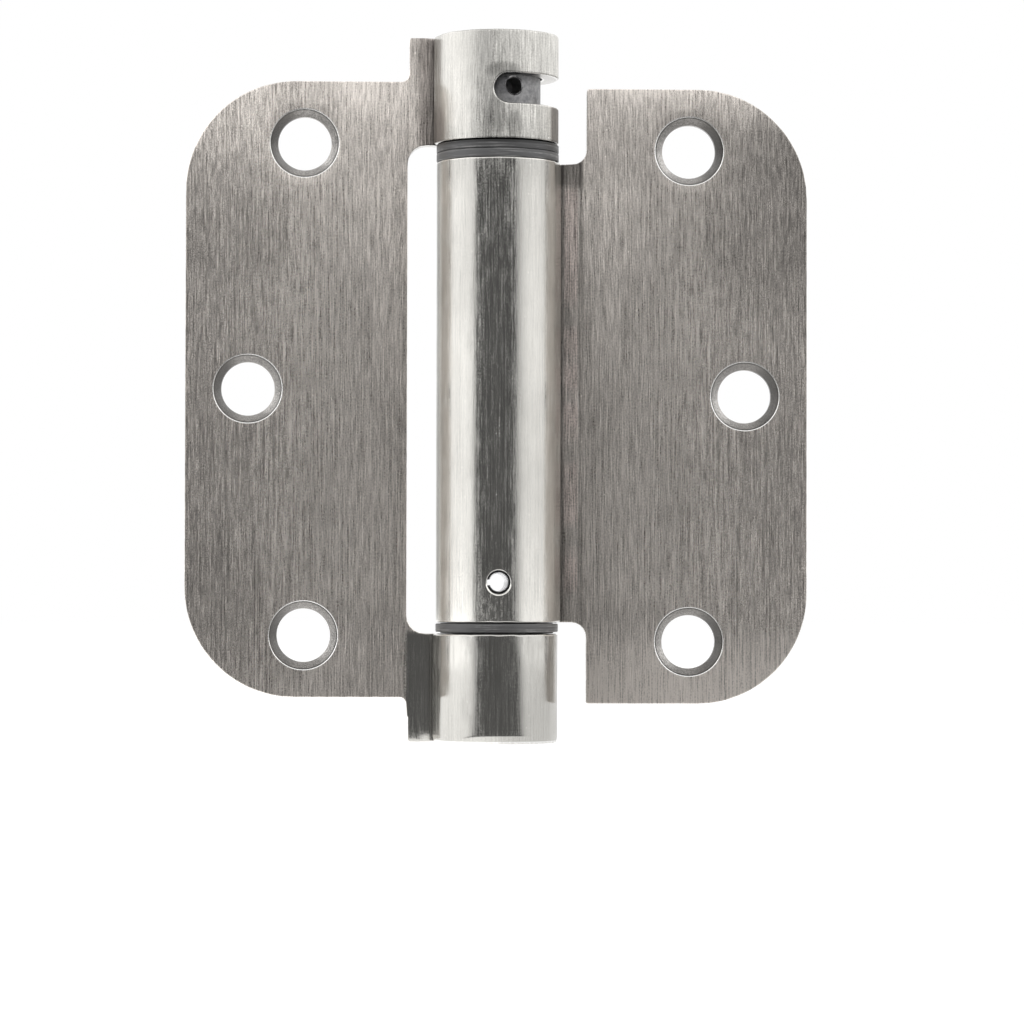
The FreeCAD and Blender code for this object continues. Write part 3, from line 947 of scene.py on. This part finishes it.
def end_in_mesh(tree, geometry, finish):
    """Ends a tree in real geometry with its finish."""
    real = node(tree, "GeometryNodeRealizeInstances", {0: geometry})
    painted = node(tree, "GeometryNodeSetMaterial", {"Geometry": real.outputs[0], "Material": finish})
    node(tree, "NodeGroupOutput", {0: painted.outputs[0]})


def shaped(title, tree, inputs):
    """The piece that a tree makes from these inputs, as a plain mesh."""
    piece = into_scene(title, bpy.data.meshes.new(title))
    maker = piece.modifiers.new("shape", "NODES")
    maker.node_group = tree
    for item in tree.interface.items_tree:
        if item.in_out == "INPUT" and item.name in inputs:
            maker[item.identifier] = inputs[item.name]
    return plain_mesh(piece)


spring_tree, given = shape_tree("wound_spring", {
    "Turns": 19.0, "Mean radius": 0.005, "Height": 0.037, "Wire": 0.0018, "Bottom": -0.02})
helix = node(spring_tree, "GeometryNodeCurveSpiral", {
    "Resolution": 40, "Rotations": given["Turns"], "Start Radius": given["Mean radius"],
    "End Radius": given["Mean radius"], "Height": given["Height"], "Reverse": True})
wire = eased_bar(spring_tree, given["Wire"], given["Wire"], 2, 0.00012)
coil = swept(spring_tree, helix.outputs[0], wire, capped=True)
tang_size = node(spring_tree, "ShaderNodeCombineXYZ", {
    "X": maths(spring_tree, "ADD", given["Mean radius"], 0.0034), "Y": given["Wire"],
    "Z": given["Wire"]})
tang = node(spring_tree, "GeometryNodeMeshCube", {"Size": tang_size.outputs[0]}).outputs[0]
tang_x = maths(spring_tree, "MULTIPLY_ADD", given["Mean radius"], 0.5, -0.0017)
spring_end = maths(spring_tree, "ADD", given["Bottom"], given["Height"])
end_in_mesh(spring_tree, joined(spring_tree, (
    moved(spring_tree, coil, {"Z": given["Bottom"]}),
    moved(spring_tree, tang, {"X": tang_x, "Z": given["Bottom"]}),
    moved(spring_tree, tang, {"X": tang_x, "Z": spring_end}))), given["Finish"])
end_gap, half_wire = 0.1, 0.9
spring_low = bottom_shoulder + end_gap + half_wire
spring_high = top_shoulder - end_gap - half_wire
spring = shaped("torsion_spring_wound", spring_tree, {
    "Height": (spring_high - spring_low) * MM, "Bottom": spring_low * MM,
    "Finish": dark_steel("spring_wire", 0.3, 0.35, 0.5)})
smoothed(spring)
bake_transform(spring)
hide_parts("torsion_spring")


# Thrust washers: flat rings of dark grey plastic on the plugs, two over the barrel and one
# under it. They keep the knuckles apart, and their outer faces are scuffed by handling.
def hoop(tree, radius, section):
    """A section swept round the hinge axis."""
    circle = node(tree, "GeometryNodeCurvePrimitiveCircle", {"Resolution": 128, "Radius": radius})
    return swept(tree, circle.outputs[0], section)


washer_tree, given = shape_tree("thrust_washer", {
    "Inner radius": 0.0063, "Outer radius": 0.0088, "Thickness": 0.0012, "Bottom": 0.0,
    "Ease": 0.00015, "Bead above": 0.0, "Bead below": 0.0})
wide = maths(washer_tree, "SUBTRACT", given["Outer radius"], given["Inner radius"])
both_r = maths(washer_tree, "ADD", given["Outer radius"], given["Inner radius"])
ring = hoop(washer_tree, times(washer_tree, both_r, 0.5),
            eased_bar(washer_tree, wide, given["Thickness"], 3, given["Ease"]))
bead_tall = maths(washer_tree, "ADD", given["Bead above"], given["Bead below"])
bead_tall = maths(washer_tree, "ADD", bead_tall,
                  maths(washer_tree, "SUBTRACT", given["Thickness"], 0.0001))
bead = hoop(washer_tree, maths(washer_tree, "SUBTRACT", given["Outer radius"], 0.0009),
            eased_bar(washer_tree, 0.0005, bead_tall, 2, given["Ease"]))
bead_rise = maths(washer_tree, "SUBTRACT", given["Bead above"], given["Bead below"])
bead = moved(washer_tree, bead, {"Z": times(washer_tree, bead_rise, 0.5)})
washer_z = maths(washer_tree, "MULTIPLY_ADD", given["Thickness"], 0.5, given["Bottom"])
end_in_mesh(washer_tree, moved(washer_tree, joined(washer_tree, (ring, bead)), {"Z": washer_z}),
            given["Finish"])


def washer_plastic(name, level, shade_from):
    """Dark grey moulded plastic, with rings of wear and light scuffs, and painted black above a height as
    shade.
    """
    made, tree = new_material(name)
    place = node(tree, "ShaderNodeTexCoord").outputs["Object"]
    drawn = node(tree, "ShaderNodeMapping", {"Vector": place, "Scale": (120.0, 120.0, 5200.0)})
    rings = speckle(tree, drawn.outputs[0], 1.0, 3.0, 0.65)
    scuff = speckle(tree, place, 420.0, 3.0, 0.6)
    marks = times(tree, ramp(tree, rings, 0.46, 0.7), ramp(tree, scuff, 0.4, 0.65, 0.25, 1.0))
    colour = blend(tree, marks, (level * 0.8, level * 0.8, level * 0.81, 1), (0.4, 0.395, 0.39, 1))
    # Painted shade: black above shade_from, under the knuckle's rim.
    painted_top_shade = ramp(tree, axes(tree, place)[2], shade_from * MM, (shade_from + 0.25) * MM)
    end_in_shader(tree, {
        "Base Color": blend(tree, painted_top_shade, colour, (0.006, 0.006, 0.006, 1)),
        "Roughness": ramp(tree, scuff, 0.3, 0.7, 0.34, 0.5),
        "Normal": bumped(tree, rings, 0.00005, 0.5)})
    return made


for title, level, shade_from, bottom, top, above, below, body in (
        ("upper_top_washer", 0.1, 34.55, 33.865, 35.05, 0.08, 0, "knuckle_leaf"),
        ("lower_top_washer", 0.15, 40, 32.65, 33.835, 0, 0, "barrel_leaf"),
        ("bottom_washer", 0.13, 40, -34.95, -33.75, 0.13, 0.22, "knuckle_leaf")):
    washer = shaped(title + "_ring", washer_tree, {
        "Bottom": bottom * MM, "Thickness": (top - bottom) * MM, "Bead above": above * MM,
        "Bead below": below * MM, "Finish": washer_plastic(title + "_plastic", level, shade_from)})
    smoothed(washer, 50)
    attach(washer, body)
    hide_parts(title)

# Studio: a pale floor, two soft boxes that flank the hinge, and a white surround. What the
# metal mirrors is set apart from what the camera sees: dim ahead of the hinge, as a room is,
# and bright over it and at its sides.
floor_bm = bmesh.new()
bmesh.ops.create_circle(floor_bm, cap_ends=True, radius=3, segments=64)
bmesh.ops.translate(floor_bm, verts=floor_bm.verts, vec=(0, 0, cad_box[0].z - 0.00005))
floor = piece_from(floor_bm, "floor")
pale, tree = new_material("pale_floor")
rays = node(tree, "ShaderNodeLightPath").outputs
place = node(tree, "ShaderNodeTexCoord").outputs["Object"]
flat_place = node(tree, "ShaderNodeVectorMath", {0: place, 1: (1, 1, 0)},
                  operation="MULTIPLY").outputs[0]
away = node(tree, "ShaderNodeVectorMath", {0: flat_place}, operation="LENGTH").outputs[1]
toward = axes(tree, node(tree, "ShaderNodeVectorMath", {0: flat_place},
                         operation="NORMALIZE").outputs[0])
off_side = ramp(tree, axes(tree, place)[0], -0.0105, -0.0085, 1.0, 0.0)
ahead = times(tree, ramp(tree, toward[1], -0.80, -0.62, 1.0, 0.0),
              maths(tree, "MAXIMUM", ramp(tree, away, 0.022, 0.035), off_side))
flank = maths(tree, "MAXIMUM", ramp(tree, toward[0], -0.3, 0.3, 1.42, 1.02),
              ramp(tree, toward[1], 0.3, 0.6))
mirrored = maths(tree, "MULTIPLY_ADD", maths(tree, "SUBTRACT", 0.15, flank), ahead, flank)
matt = node(tree, "ShaderNodeBsdfDiffuse", {"Color": (0.9, 0.9, 0.9, 1)})
glow = node(tree, "ShaderNodeEmission", {"Color": (1, 1, 1, 1), "Strength": 0.55})
bright = node(tree, "ShaderNodeAddShader", {0: matt.outputs[0], 1: glow.outputs[0]})
shine = node(tree, "ShaderNodeEmission", {"Color": (1, 1, 1, 1), "Strength": mirrored})
seen = node(tree, "ShaderNodeMixShader", {
    0: rays["Is Camera Ray"], 1: matt.outputs[0], 2: bright.outputs[0]})
shown = node(tree, "ShaderNodeMixShader", {
    0: rays["Is Glossy Ray"], 1: seen.outputs[0], 2: shine.outputs[0]})
node(tree, "ShaderNodeOutputMaterial", {"Surface": shown.outputs[0]})
floor.data.materials.append(pale)

world = bpy.data.worlds.new("studio")
bpy.context.scene.world = world
world.use_nodes = True
tree = world.node_tree
tree.nodes.clear()
rays = node(tree, "ShaderNodeLightPath").outputs
way = axes(tree, node(tree, "ShaderNodeTexCoord").outputs["Generated"])
above = ramp(tree, way[2], 0.119, 0.137)
front = times(tree, ramp(tree, way[1], -0.80, -0.62, 1.0, 0.0), maths(tree, "SUBTRACT", 1.0, above))
behind = ramp(tree, way[1], 0.9, 0.97)
level = times(tree, maths(tree, "MULTIPLY_ADD", above, 0.76, 0.5),
              ramp(tree, way[2], 0.6, 0.9, 1.0, 0.75))
level = maths(tree, "MAXIMUM", level, behind)
level = maths(tree, "MULTIPLY_ADD", maths(tree, "SUBTRACT", 0.105, level), front, level)
mirror_ray = maths(tree, "MAXIMUM", rays["Is Glossy Ray"], rays["Is Transmission Ray"])
strength = maths(tree, "ADD", times(tree, mirror_ray, level),
                 times(tree, maths(tree, "SUBTRACT", 1.0, mirror_ray), 0.5))
strength = maths(tree, "MAXIMUM", strength, rays["Is Camera Ray"])
sky = node(tree, "ShaderNodeBackground", {"Color": (1, 1, 1, 1), "Strength": strength})
node(tree, "ShaderNodeOutputWorld", {"Surface": sky.outputs[0]})

for title, x, near, deep, watts in (("soft_box_left", -0.6, -0.57, 1.27, 4.35),
                                    ("soft_box_right", 0.6, -0.85, 1.7, 3.95)):
    lamp = bpy.data.lights.new(title, "AREA")
    lamp.shape = "RECTANGLE"
    lamp.size = deep
    lamp.size_y = 1.5
    lamp.energy = watts
    box = into_scene(title, lamp)
    box.location = (x, near + deep / 2, 0.0)
    box.rotation_euler = (math.radians(90), 0, math.radians(90 if x > 0 else -90))

lens = bpy.data.cameras.new("camera")
lens.lens = 136.97
lens.sensor_width = 36
lens.clip_start = 0.05
camera = into_scene("camera", lens)
camera.location = (-0.0181, -0.56, -0.03005)
aim = Vector((0.00218, 0, -0.01771)) - camera.location
roll = Quaternion((0, 0, 1), math.radians(0.13))
camera.rotation_mode = "QUATERNION"
camera.rotation_quaternion = aim.to_track_quat("-Z", "Y") @ roll
bpy.context.scene.camera = camera
bpy.context.scene.view_settings.view_transform = "Standard"
